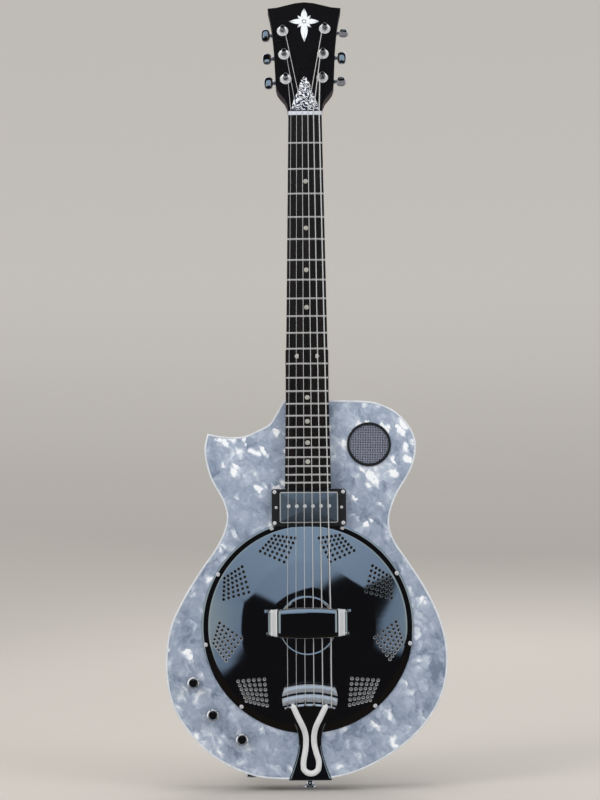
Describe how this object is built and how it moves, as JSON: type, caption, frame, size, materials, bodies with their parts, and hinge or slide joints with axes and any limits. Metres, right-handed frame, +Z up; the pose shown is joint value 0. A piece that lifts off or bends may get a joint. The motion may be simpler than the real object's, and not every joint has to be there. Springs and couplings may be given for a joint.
{
  "type": "resonator guitar",
  "caption": "Left-handed cutaway resonator guitar with a pearloid top, spun cone under a chrome coverplate, magnetic pickup and stamped tailpiece.",
  "frame": {"origin": "middle of the end strap button's outer face", "axes": "+Z up the neck towards the headstock, +Y out of the back, -Y out of the playing face, +X towards the bass side of the left-handed stringing"},
  "size_m": [0.3466, 0.0843, 0.9992],
  "materials": {
    "pearloid": "high gloss celluloid, clouded",
    "black_gloss": "black lacquer, high gloss",
    "bare_wood": "bare plywood and maple",
    "neck_wood": "black lacquer over mahogany",
    "fingerboard": "oiled dark rosewood, nickel frets, pearl dots",
    "chrome": "mirror plate",
    "cone_aluminium": "spun, satin",
    "biscuit_maple": "bare maple",
    "bone": "polished bone white",
    "steel": "zinc plated",
    "black_plastic": "satin moulded",
    "screen_wire": "woven wire",
    "string_steel": "nickel wound and plain steel",
    "pearl": "pearl inlay, gloss"
  },
  "bodies": {
    "guitar": {"pearloid_top": "pearloid", "top_board": "bare_wood", "neck_block": "bare_wood", "tail_block": "bare_wood", "soundwell": "bare_wood", "body_rim": "black_gloss", "back_board": "black_gloss", "headstock_face": "black_gloss", "cone": "cone_aluminium", "biscuit": "biscuit_maple", "saddle": "biscuit_maple", "coverplate": "chrome", "handrest": "chrome", "tailpiece": "chrome", "end_button": "chrome", "heel_button": "chrome", "pickup": "chrome", "output_jack": "chrome", "neck": "neck_wood", "fingerboard": "fingerboard", "nut": "bone", "truss_rod": "steel", "neck_bolt_front": "steel", "neck_bolt_back": "steel", "pickup_ring": "black_plastic", "screen_bezel": "black_plastic", "screen_mesh": "screen_wire", "rod_cover": "pearl", "volume_pot": "steel", "blend_pot": "steel", "tone_pot": "steel", "string_1": "string_steel", "tuner_housing_1": "chrome", "string_2": "string_steel", "tuner_housing_2": "chrome", "string_3": "string_steel", "tuner_housing_3": "chrome", "string_4": "string_steel", "tuner_housing_4": "chrome", "string_5": "string_steel", "tuner_housing_5": "chrome", "string_6": "string_steel", "tuner_housing_6": "chrome"},
    "tuner_button_1": {"tuner_button_1": "chrome"},
    "tuner_post_1": {"tuner_post_1": "chrome"},
    "tuner_button_2": {"tuner_button_2": "chrome"},
    "tuner_post_2": {"tuner_post_2": "chrome"},
    "tuner_button_3": {"tuner_button_3": "chrome"},
    "tuner_post_3": {"tuner_post_3": "chrome"},
    "tuner_button_4": {"tuner_button_4": "chrome"},
    "tuner_post_4": {"tuner_post_4": "chrome"},
    "tuner_button_5": {"tuner_button_5": "chrome"},
    "tuner_post_5": {"tuner_post_5": "chrome"},
    "tuner_button_6": {"tuner_button_6": "chrome"},
    "tuner_post_6": {"tuner_post_6": "chrome"},
    "volume_knob": {"volume_knob": "chrome"},
    "blend_knob": {"blend_knob": "chrome"},
    "tone_knob": {"tone_knob": "chrome"}
  },
  "joints": [
    {"name": "tuner_button_1_turn", "type": "hinge", "parent": "guitar", "child": "tuner_button_1", "pos_m": [-0.043, 0.01818, 0.95904], "axis": [1, 0, 0], "continuous": true},
    {"name": "tuner_post_1_turn", "type": "hinge", "parent": "guitar", "child": "tuner_post_1", "pos_m": [-0.028, -0.0039, 0.95732], "axis": [0, 0.9703, -0.2419], "continuous": true},
    {"name": "tuner_button_2_turn", "type": "hinge", "parent": "guitar", "child": "tuner_button_2", "pos_m": [-0.0412, 0.0098, 0.92546], "axis": [1, 0, 0], "continuous": true},
    {"name": "tuner_post_2_turn", "type": "hinge", "parent": "guitar", "child": "tuner_post_2", "pos_m": [-0.0262, -0.01227, 0.92375], "axis": [0, 0.9703, -0.2419], "continuous": true},
    {"name": "tuner_button_3_turn", "type": "hinge", "parent": "guitar", "child": "tuner_button_3", "pos_m": [-0.0392, 0.00119, 0.89092], "axis": [1, 0, 0], "continuous": true},
    {"name": "tuner_post_3_turn", "type": "hinge", "parent": "guitar", "child": "tuner_post_3", "pos_m": [-0.0242, -0.02088, 0.88921], "axis": [0, 0.9703, -0.2419], "continuous": true},
    {"name": "tuner_button_4_turn", "type": "hinge", "parent": "guitar", "child": "tuner_button_4", "pos_m": [0.0414, 0.0189, 0.96195], "axis": [1, 0, 0], "continuous": true},
    {"name": "tuner_post_4_turn", "type": "hinge", "parent": "guitar", "child": "tuner_post_4", "pos_m": [0.0264, -0.00317, 0.96023], "axis": [0, 0.9703, -0.2419], "continuous": true},
    {"name": "tuner_button_5_turn", "type": "hinge", "parent": "guitar", "child": "tuner_button_5", "pos_m": [0.0386, 0.00995, 0.92605], "axis": [1, 0, 0], "continuous": true},
    {"name": "tuner_post_5_turn", "type": "hinge", "parent": "guitar", "child": "tuner_post_5", "pos_m": [0.0236, -0.01212, 0.92434], "axis": [0, 0.9703, -0.2419], "continuous": true},
    {"name": "tuner_button_6_turn", "type": "hinge", "parent": "guitar", "child": "tuner_button_6", "pos_m": [0.0374, 0.00158, 0.89247], "axis": [1, 0, 0], "continuous": true},
    {"name": "tuner_post_6_turn", "type": "hinge", "parent": "guitar", "child": "tuner_post_6", "pos_m": [0.0224, -0.02049, 0.89076], "axis": [0, 0.9703, -0.2419], "continuous": true},
    {"name": "volume_turn", "type": "hinge", "parent": "guitar", "child": "volume_knob", "pos_m": [-0.1416, -0.03, 0.1321], "axis": [0, -1, 0], "range_deg": [-150, 150]},
    {"name": "blend_turn", "type": "hinge", "parent": "guitar", "child": "blend_knob", "pos_m": [-0.1179, -0.03, 0.0932], "axis": [0, -1, 0], "range_deg": [-150, 150]},
    {"name": "tone_turn", "type": "hinge", "parent": "guitar", "child": "tone_knob", "pos_m": [-0.0825, -0.03, 0.0636], "axis": [0, -1, 0], "range_deg": [-150, 150]}
  ],
  "couplings": [
    {"joint": "tuner_post_1_turn", "follows": "tuner_button_1_turn", "ratio": -0.071429},
    {"joint": "tuner_post_2_turn", "follows": "tuner_button_2_turn", "ratio": -0.071429},
    {"joint": "tuner_post_3_turn", "follows": "tuner_button_3_turn", "ratio": -0.071429},
    {"joint": "tuner_post_4_turn", "follows": "tuner_button_4_turn", "ratio": 0.071429},
    {"joint": "tuner_post_5_turn", "follows": "tuner_button_5_turn", "ratio": 0.071429},
    {"joint": "tuner_post_6_turn", "follows": "tuner_button_6_turn", "ratio": 0.071429}
  ]
}
